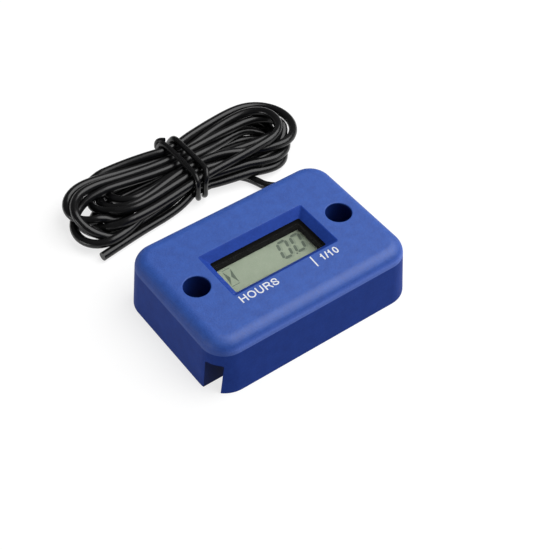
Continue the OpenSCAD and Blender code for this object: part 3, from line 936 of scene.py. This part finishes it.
@dataclass
class MouldedCase:
    """The blue case: a drafted shell with its window, screw holes and wire notches; in millimetres."""

    length: float = 56.0
    width: float = 38.6
    height: float = 14.99
    full_height: float = 15.0
    corner: float = 6.8
    edge: float = 3.4
    draft: float = 3.6
    wall: float = 1.8
    window: Pair = (25.0, 10.4)
    window_x: float = -0.3
    window_r: float = 0.35
    window_rim: Pair = (3.0, 2.4)
    slope: float = 1.8
    screw_pitch: float = 39.4
    screw_d: float = 3.5
    head_d: float = 6.2
    seat: float = 3.0
    sleeve: float = 4.6
    notch: Pair = (3.6, 8.6)
    trough: Pair = (14.0, 1.2)
    trough_r: float = 0.5
    slot: Pair = (2.4, 4.2)
    slot_r: float = 1.19
    slot_start: float = 0.8
    trough_block: Pair = (20.0, 10.0)
    rim_r: float = 0.24
    edge_r: float = 0.14
    corner_facets: int = 14
    edge_facets: int = 10
    sleeve_facets: int = 56
    hole_facets: int = 64
    wall_inset: float = 0.4
    wall_margin: float = 0.1
    low_edges: float = 9.0
    ceiling: float = 13.1
    skin: float = 0.9
    level: float = 0.985
    bends: Point = (0.76, 0.62, 0.42)
    # Painted highlight at the foot of the top edge: reach in from the outside, tilt where it starts and how
    # fast it rises, least share, and the fade and start of the front's share along X
    highlight_band: float = 4.2
    highlight_tilt: Pair = (58.0, 14.0)
    highlight_least: float = 0.2
    highlight_fade: float = 4.0
    highlight_from: float = 0.44
    front_band: float = 4.0
    smooth_angle: float = 35.0
    face_weight: int = 90

    def build(self) -> None:
        """Makes the case out of its solids, rounds its edges and gives each face its finish, with painted
        shade on its walls and inner faces and a painted highlight at the foot of its top edge.
        """
        outside = (self.length, self.width, self.height, self.corner, self.edge)
        inside = (self.length - 2 * self.wall, self.width - 2 * self.wall, self.full_height - self.wall,
                  self.corner - self.wall, self.edge - self.wall)
        outer = Shop.solid("moulded_case", self.block(*outside))
        inner = Shop.solid("hollow", self.block(*inside, foot=-1.0))
        hollow = Shop.carve(inner, self.posts())
        case = Shop.carve(outer, hollow, self.openings(), self.slots())
        self.round_edges(case)
        zones = list(Zone)
        case = Shop.hand_over(case, zones[0].value, "case_blue", "case_shell", angle=self.smooth_angle)
        for zone in zones[1:]:
            case.data.materials.append(zone.value.material())
        for face in case.data.polygons:
            face.material_index = zones.index(self.zone_at(face.center / MM, face.normal))
        # Paints a pale highlight band into the colour at the foot of the top edge.
        self.mark_painted_highlight(case.data)
        even = case.modifiers.new("even_shading", "WEIGHTED_NORMAL")
        even.keep_sharp, even.weight = True, self.face_weight

    def zone_at(self, centre: Vector, normal: Vector) -> Zone:
        """Tells which zone of the case a face is in.

        Args:
            centre: middle of the face.
            normal: its direction.

        Returns:
            The zone.
        """
        # Faces deep inside take a painted shade.
        if centre.z < self.ceiling and self.depth(centre) > self.skin:
            return Zone.INSIDE
        # Outer walls below the top edge take the walls' painted shade.
        if centre.z < self.height - self.edge + self.wall_margin:
            return Zone.WALL
        reach_x, reach_y = (size / 2 + rim for size, rim in zip(self.window, self.window_rim))
        # The window's sloped walls take the walls' painted shade.
        if abs(centre.x) < reach_x and abs(centre.y) < reach_y:
            return Zone.WALL if normal.z < self.level else Zone.TOP
        steps = zip(self.bends, (Zone.TOP, Zone.BEND, Zone.EDGE))
        return next((zone for least, zone in steps if normal.z > least), Zone.FOOT)

    def depth(self, point: Vector) -> float:
        """Returns how deep a point lies behind the outer walls."""
        lean = max(point.z, 0.0) * math.tan(math.radians(self.draft))
        r = self.corner - lean
        past = Vector((abs(point.x) - self.length / 2 + lean + r, abs(point.y) - self.width / 2 + lean + r))
        return r - math.hypot(max(past.x, 0.0), max(past.y, 0.0)) - min(max(past.x, past.y), 0.0)

    def mark_painted_highlight(self, mesh: bpy.types.Mesh) -> None:
        """Marks the foot of the rounded top edge for a painted highlight, most at the front."""
        foot, values = self.height - self.edge, []
        start, rise = self.highlight_tilt
        for vertex in mesh.vertices:
            x, y, z = vertex.co / MM
            outer = abs(x) > self.length / 2 - self.highlight_band or abs(y) > self.width / 2 - self.highlight_band
            tilt = math.degrees(math.acos(share((z - foot) / self.edge)))
            along = share((x + self.highlight_from * self.length) / self.highlight_fade)
            front = along if y < self.front_band - self.width / 2 else 0.0
            much = share((tilt - start) / rise) * (self.highlight_least + (1 - self.highlight_least) * front)
            values.append(much if outer and z > foot else 0.0)
        mesh.attributes.new("painted_highlight", "FLOAT", "POINT").data.foreach_set("value", values)

    def block(self, length: float, width: float, height: float, corner: float, edge: float,
              foot: float = 0.0) -> BMesh:
        """Makes a block with rounded corners, drafted walls and a rounded top edge.

        Args:
            length: size along X at the floor.
            width: size along Y at the floor.
            height: height of its top.
            corner: radius of its corners at the floor.
            edge: radius of its top edge.
            foot: height of its foot.

        Returns:
            The block's bmesh.
        """
        bm = bmesh.new()
        lean = math.tan(math.radians(self.draft))
        length, width, corner = length - 2 * foot * lean, width - 2 * foot * lean, corner - foot * lean
        bmesh.ops.create_grid(bm, x_segments=1, y_segments=1, size=0.5)
        bmesh.ops.scale(bm, verts=bm.verts, vec=(length, width, 1.0))
        bmesh.ops.translate(bm, verts=bm.verts, vec=(0.0, 0.0, foot))
        Shop.bevel(bm, bm.verts[:], corner, self.corner_facets, Rounding.CORNERS)
        top, rim = Shop.lift(bm, bm.faces[:], height - foot)
        less = (height - foot) * lean / corner
        reach_x, reach_y = length / 2 - corner, width / 2 - corner
        for v in top:
            centre = Vector((math.copysign(reach_x, v.co.x), math.copysign(reach_y, v.co.y)))
            v.co.xy += (centre - v.co.xy) * less
        Shop.bevel(bm, rim, edge, self.edge_facets)
        return bm

    def posts(self) -> Piece:
        """Returns the screw sleeves and trough walls that stand in the hollow."""
        bm = bmesh.new()
        long, thick = self.trough
        inner = self.width / 2 - self.wall
        for side in (-1, 1):
            place = Matrix.Translation((side * self.screw_pitch / 2, 0.0, self.full_height / 2))
            bmesh.ops.create_cone(bm, cap_ends=True, segments=self.sleeve_facets, radius1=self.sleeve,
                                  radius2=self.sleeve, depth=self.full_height + PAST, matrix=place)
            low = (self.length / 2 - long - thick, inner - self.notch[0] - thick)
            turn = Matrix.Diagonal((side, side, 1.0, 1.0))
            size = (*self.trough_block, self.notch[1] + thick + PAST)
            middle = (low[0] + size[0] / 2, low[1] + size[1] / 2, size[2] / 2 - PAST)
            place = turn @ Matrix.Translation(middle)
            bmesh.ops.create_cube(bm, size=1.0, matrix=place @ Matrix.Diagonal((*size, 1.0)))
        return Shop.solid("posts", bm)

    def openings(self) -> Piece:
        """Returns the window, the stepped screw holes and the wire notches as one cutter."""
        bm = bmesh.new()
        self.window_cut(bm)
        for side in (-1, 1):
            self.screw_cut(bm, side * self.screw_pitch / 2)
            size = (self.trough[0] + PAST, *self.notch)
            self.trough_cut(bm, side, size, self.length / 2 - self.trough[0], self.trough_r)
        return Shop.solid("openings", bm)

    def slots(self) -> Piece:
        """Returns the wire's slots at the blind ends of the troughs as one cutter."""
        bm = bmesh.new()
        long, thick = self.trough
        for side in (-1, 1):
            start = self.length / 2 - long - thick - self.slot_start
            self.trough_cut(bm, side, (thick + 1.0, *self.slot), start, self.slot_r)
        return Shop.solid("slots", bm)

    def window_cut(self, bm: BMesh) -> None:
        """Adds the sloped window with its slightly rounded corners to the cutter."""
        extra, under = 1.0, self.full_height - self.wall
        low = bmesh.ops.create_cube(bm, size=1.0)["verts"]
        for v in low:
            up = v.co.z > 0
            grow = 2 * (self.slope * (1 + extra / self.wall) if up else -extra * self.slope / self.wall)
            v.co = (self.window_x + (self.window[0] + grow) * v.co.x, (self.window[1] + grow) * v.co.y,
                    self.full_height + extra if up else under - extra)
        edges = dict.fromkeys(e for v in low for e in v.link_edges)
        posts = [e for e in edges if abs(e.verts[0].co.z - e.verts[1].co.z) > extra]
        Shop.bevel(bm, posts, self.window_r, 3)

    def screw_cut(self, bm: BMesh, x: float) -> None:
        """Adds a stepped screw hole at x to the cutter."""
        wide, slim = self.head_d / 2, self.screw_d / 2
        top = self.full_height + PAST
        profile = [(0.0, -PAST), (slim, -PAST), (slim, self.seat), (wide, self.seat), (wide, top), (0.0, top)]
        verts = [bm.verts.new((x + r, 0.0, z)) for r, z in profile]
        edges = [bm.edges.new(pair) for pair in zip(verts, verts[1:])]
        bmesh.ops.spin(bm, geom=verts + edges, cent=(x, 0.0, 0.0), axis=(0.0, 0.0, 1.0), angle=2 * math.pi,
                       steps=self.hole_facets, use_merge=True)

    def trough_cut(self, bm: BMesh, side: int, size: Point, x: float, round_r: float) -> None:
        """Adds a long hollow that is open below to a cutter.

        Args:
            bm: the cutter.
            side: 1 for the wire's side, -1 for the one half a turn from it.
            size: its length, width and height above the floor.
            x: where it starts.
            round_r: radius of its upper edges.
        """
        middle = self.width / 2 - self.wall - self.notch[0] / 2
        whole = (size[0], size[1], size[2] + PAST)
        place = Matrix.Translation((x + size[0] / 2, middle, size[2] - whole[2] / 2))
        place = Matrix.Diagonal((side, side, 1.0, 1.0)) @ place @ Matrix.Diagonal((*whole, 1.0))
        verts = bmesh.ops.create_cube(bm, size=1.0, matrix=place)["verts"]
        edges = dict.fromkeys(e for v in verts for e in v.link_edges)
        rims = [e for e in edges if min(v.co.z for v in e.verts) > size[2] - TOUCH
                and abs(e.verts[0].co.x - e.verts[1].co.x) > TOUCH]
        Shop.bevel(bm, rims, round_r, 5)

    def round_edges(self, case: Piece) -> None:
        """Rounds the rims on the top face, then the sharp edges low on the bottom rim and the end walls, as a
        mould does.
        """
        bm = bmesh.new()
        bm.from_mesh(case.data)
        slivers = 2e-3
        bmesh.ops.remove_doubles(bm, verts=bm.verts, dist=slivers)
        bmesh.ops.dissolve_degenerate(bm, edges=bm.edges, dist=slivers)
        rims = self.sharp(bm, lambda e: min(v.co.z for v in e.verts) > self.height - TOUCH)
        Shop.bevel(bm, rims, self.rim_r, 4, clamp=True)
        rest = self.sharp(bm, lambda e: max(v.co.z for v in e.verts) < self.low_edges and self.outside(e))
        Shop.bevel(bm, rest, self.edge_r, 2, clamp=True)
        bm.to_mesh(case.data)
        bm.free()

    def outside(self, edge: BMEdge) -> bool:
        """Tells whether an edge lies on the case's outer walls or rim."""
        middle = (edge.verts[0].co + edge.verts[1].co) / 2
        return middle.z < TOUCH or abs(middle.x) > self.length / 2 - self.wall + self.wall_inset

    @staticmethod
    def sharp(bm: BMesh, wanted: Callable[[BMEdge], bool]) -> list[BMEdge]:
        """Returns the edges between two faces that meet at more than 25 degrees, where wanted."""
        least = math.radians(25)
        return [e for e in bm.edges
                if len(e.link_faces) == 2 and e.calc_face_angle(0.0) > least and wanted(e)]


@dataclass
class DisplayFrame:
    """The black frame round the display, under the lens; in millimetres."""

    film_top: float = 10.1
    wall: float = 0.8
    opening: tuple[Pair, Pair] = ((-12.55, -4.85), (11.4, 4.4))
    edge_r: float = 0.12

    def build(self) -> None:
        """Makes the frame in the place of the bezel."""
        low, high = ([c / MM for c in corner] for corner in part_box("display_bezel"))
        frame_box = self.cuboid("display_frame", low, high)
        room = self.cuboid("room", (low[0] + self.wall, low[1] + self.wall, low[2] - PAST),
                           (high[0] - self.wall, high[1] - self.wall, self.film_top))
        hole = self.cuboid("hole", (*self.opening[0], low[2] - PAST), (*self.opening[1], high[2] + PAST))
        made = Shop.carve(frame_box, room, hole)
        bm = bmesh.new()
        bm.from_mesh(made.data)
        rims = MouldedCase.sharp(bm, lambda e: min(v.co.z for v in e.verts) > high[2] - TOUCH)
        Shop.bevel(bm, rims, self.edge_r, 2)
        bm.to_mesh(made.data)
        bm.free()
        Shop.hand_over(made, Coat.BEZEL, "black_bezel", "display_bezel")

    @staticmethod
    def cuboid(name: str, low: Sequence[float], high: Sequence[float]) -> Piece:
        """Returns a block between two corners."""
        bm = bmesh.new()
        size = [b - a for a, b in zip(low, high)]
        middle = [(a + b) / 2 for a, b in zip(low, high)]
        place = Matrix.Translation(middle) @ Matrix.Diagonal((*size, 1.0))
        bmesh.ops.create_cube(bm, size=1.0, matrix=place)
        return Shop.solid(name, bm)


class Bar(Enum):
    """Bars of a nought: the middle of each in half widths and half heights, and whether it lies flat."""

    TOP = (0.0, 1.0, True)
    BOTTOM = (0.0, -1.0, True)
    UPPER_LEFT = (-1.0, 0.5, False)
    UPPER_RIGHT = (1.0, 0.5, False)
    LOWER_LEFT = (-1.0, -0.5, False)
    LOWER_RIGHT = (1.0, -0.5, False)


@dataclass
class DisplayMarks:
    """Digits, point and hourglass that the display shows, as thin films on it; in millimetres."""

    top: float = 10.1
    film: float = 0.02
    digit: Pair = (2.3, 4.8)
    bar: float = 0.7
    gap: float = 0.13
    shade_off: Pair = (0.42, -0.34)
    slant: float = 0.25
    digits_at: tuple[Pair, ...] = ((5.15, 1.1), (8.85, 1.1))
    point_at: Pair = (6.75, -1.6)
    point_r: float = 0.26
    glass_at: Pair = (-9.8, 1.2)
    glass: Pair = (2.1, 5.2)
    glass_slant: float = 0.13
    glass_gap: float = 0.35
    glass_line: float = 0.16

    def build(self) -> None:
        """Makes the digits, the shade that they cast on the layer behind, and the hourglass."""
        self.make_digits("display_digits", Coat.SEGMENT, (0.0, 0.0), self.film)
        self.make_digits("display_shade", Coat.SHADE, self.shade_off, self.film / 2)
        Shop.hand_over(Shop.solid("display_hourglass", self.hourglass()), Coat.SEGMENT, None)

    def make_digits(self, name: str, coat: Coat, off: Pair, film: float) -> None:
        """Makes both noughts and the point.

        Args:
            name: name of the piece.
            coat: its finish.
            off: shift from the digits' place.
            film: thickness of the film.
        """
        bm = bmesh.new()
        for x, y in self.digits_at:
            for bar in Bar:
                self.add_bar(bm, bar, x + off[0], y + off[1], film)
        x, y = self.point_at
        Shop.plate(bm, [(x + off[0] + self.point_r * math.cos(a), y + off[1] + self.point_r * math.sin(a))
                        for a in np.linspace(0, 5.6, 9)], self.top, film)
        Shop.hand_over(Shop.solid(name, bm), coat, None)

    @staticmethod
    def lean(x: float, y: float, middle: Pair, slant: float) -> Pair:
        """Returns a point of a mark about its middle, leaned to the right."""
        return middle[0] + x + slant * y, middle[1] + y

    def add_bar(self, bm: BMesh, bar: Bar, x: float, y: float, film: float) -> None:
        """Adds one six-sided bar of a digit.

        Args:
            bm: the bmesh that takes the bar.
            bar: which bar.
            x: middle of the digit along X.
            y: middle of the digit along Y.
            film: thickness of the bar.
        """
        across, along, flat = bar.value
        half_w, half_h, t = self.digit[0] / 2, self.digit[1] / 2, self.bar / 2
        long = (half_w if flat else half_h / 2) - self.gap
        outline = [(-long, 0.0), (-long + t, -t), (long - t, -t), (long, 0.0), (long - t, t), (-long + t, t)]
        centre = (across * half_w, along * half_h)
        placed = [(centre[0] + (u if flat else v), centre[1] + (v if flat else u)) for u, v in outline]
        Shop.plate(bm, [self.lean(px, py, (x, y), self.slant) for px, py in placed], self.top, film)

    def hourglass(self) -> BMesh:
        """Returns the hourglass mark: two dark sides and two thin end bars."""
        bm = bmesh.new()
        half_w, half_h = self.glass[0] / 2, self.glass[1] / 2
        side_h, line = half_h - self.glass_gap, self.glass_line
        shapes = [[(s * half_w, side_h), (s * half_w, -side_h), (s * line, 0.0)] for s in (-1, 1)]
        shapes += [[(-half_w, s * half_h), (half_w, s * half_h), (half_w, s * (half_h - line)),
                    (-half_w, s * (half_h - line))] for s in (-1, 1)]
        for shape in shapes:
            leaned = [self.lean(x, y, self.glass_at, self.glass_slant) for x, y in shape]
            Shop.plate(bm, leaned, self.top, self.film)
        return bm


def bow(centre: Pair, reach: Pair, start: float, end: float, count: int = 14) -> list[Pair]:
    """Gives points of a bow.

    Args:
        centre: its centre.
        reach: its half width and half height.
        start: first angle in degrees.
        end: last angle in degrees.
        count: number of points.

    Returns:
        The points.
    """
    angles = np.radians(np.linspace(start, end, count))
    return [(centre[0] + reach[0] * math.cos(a), centre[1] + reach[1] * math.sin(a)) for a in angles]


class Letter(Enum):
    """Letters and figures of the legends: the strokes of a pen in a box of one by one."""

    H = ([(0, 0), (0, 1)], [(1, 0), (1, 1)], [(0, 0.53), (1, 0.53)])
    O = (bow((0.5, 0.5), (0.5, 0.5), 90, 450, 40),)
    U = ([(0, 1), (0, 0.5), *bow((0.5, 0.36), (0.5, 0.36), 180, 360), (1, 0.5), (1, 1)],)
    R = ([(0, 0), (0, 1)],
         [(0, 1), (0.4, 1), *bow((0.55, 0.74), (0.34, 0.26), 90, -90), (0.4, 0.48), (0, 0.48)],
         [(0.5, 0.48), (0.68, 0.38), (0.98, 0)])
    S = ([(0.93, 0.71), (0.86, 0.89), (0.5, 1), (0.15, 0.9), (0.07, 0.75), (0.18, 0.6), (0.5, 0.51),
          (0.84, 0.41), (0.97, 0.26), (0.86, 0.09), (0.5, 0), (0.12, 0.1), (0.02, 0.31)],)
    ONE = ([(0.72, 0), (0.72, 1)], [(0.72, 0.97), (0.5, 0.8), (0.1, 0.69)])
    SLASH = ([(0, 0), (1, 1)],)
    NOUGHT = O


class Legend(Enum):
    """Words on the case: height, low corner, and each letter with its start and width; in millimetres."""

    HOURS = (2.1, (-14.22, -9.86), (
        (Letter.H, 0.0, 1.62), (Letter.O, 1.98, 1.96), (Letter.U, 4.31, 1.62), (Letter.R, 6.38, 1.78),
        (Letter.S, 8.36, 1.64)))
    TENTHS = (1.97, (7.6, -9.93), (
        (Letter.ONE, 0.0, 0.86), (Letter.SLASH, 1.2, 0.74), (Letter.ONE, 2.14, 0.86),
        (Letter.NOUGHT, 3.46, 1.22)))


@dataclass
class PrintedLegends:
    """White legends under the window; in millimetres."""

    face: float = 14.98
    film: float = 0.014
    stagger: float = 0.002
    pen: float = 0.33
    curved_from: int = 7
    curve_steps: int = 4
    tick: tuple[Pair, Pair] = ((5.56, -10.5), (5.72, -7.5))

    def build(self) -> None:
        """Makes the words and the tick."""
        half = self.pen / 2
        for legend in Legend:
            height, low, letters = legend.value
            strokes = [[(low[0] + start + half + x * (wide - self.pen),
                         low[1] + half + y * (height - self.pen)) for x, y in stroke]
                       for letter, start, wide in letters for stroke in letter.value]
            self.print_strokes(f"legend_{legend.name.lower()}", strokes)
        self.print_strokes("legend_tick", [list(self.tick)])

    def print_strokes(self, name: str, strokes: list[list[Pair]]) -> None:
        """Makes the strokes of a flat pen as one thin print.

        Args:
            name: name of the piece.
            strokes: points of each stroke in plan.
        """
        data = bpy.data.curves.new(name, "CURVE")
        data.dimensions, data.twist_mode, data.extrude = "3D", "Z_UP", self.pen / 2
        for order, stroke in enumerate(strokes):
            line = [(*p, self.stagger * (order % 3)) for p in stroke]
            if len(stroke) >= self.curved_from:
                line = WireHank.smooth_line(line, self.curve_steps)
            spline = data.splines.new("POLY")
            spline.points.add(len(line) - 1)
            for point, place in zip(spline.points, self.capped(line)):
                point.co, point.tilt = (*place, 1.0), math.pi / 2
        drawn = Shop.link(name, data)
        bpy.context.view_layer.update()
        dg = bpy.context.evaluated_depsgraph_get()
        flat = bpy.data.meshes.new_from_object(drawn.evaluated_get(dg))
        bpy.data.objects.remove(drawn)
        bm = bmesh.new()
        bm.from_mesh(flat)
        bmesh.ops.translate(bm, verts=bm.verts, vec=(0.0, 0.0, self.face))
        Shop.lift(bm, bm.faces[:], self.film)
        Shop.hand_over(Shop.solid(name, bm), Coat.INK, None)

    def capped(self, line: Sequence[Sequence[float]]) -> list[Vector]:
        """Returns a stroke whose open ends reach half a pen further, as its corners do."""
        points = [Vector(p) for p in line]
        closed = 1e-6
        if (points[0] - points[-1]).length > closed:
            points[0] = points[0] + (points[0] - points[1]).normalized() * self.pen / 2
            points[-1] = points[-1] + (points[-1] - points[-2]).normalized() * self.pen / 2
        return points


def dress_nodes(nodes: dict[str, Piece], coats: dict[str, Coat]) -> None:
    """Gives the carried-over CAD nodes their finishes; clear ones cast no shadow.

    Args:
        nodes: the CAD nodes by name.
        coats: the finish of each.
    """
    for name, coat in coats.items():
        nodes[name].data.materials.clear()
        nodes[name].data.materials.append(coat.material())
        LOG.info("%s has %s", name, coat.value.name)
        if isinstance(coat.value, ClearSheet):
            nodes[name].visible_shadow = False


def main() -> None:
    """Builds the studio and the meter's pieces in order."""
    logging.basicConfig(level=logging.INFO, format="%(name)s: %(message)s")
    Studio().build()
    WireHank().build()
    MouldedCase().build()
    DisplayFrame().build()
    DisplayMarks().build()
    PrintedLegends().build()
    dress_nodes(frame["nodes"], NODE_COATS)


if __name__ == "__main__":
    main()
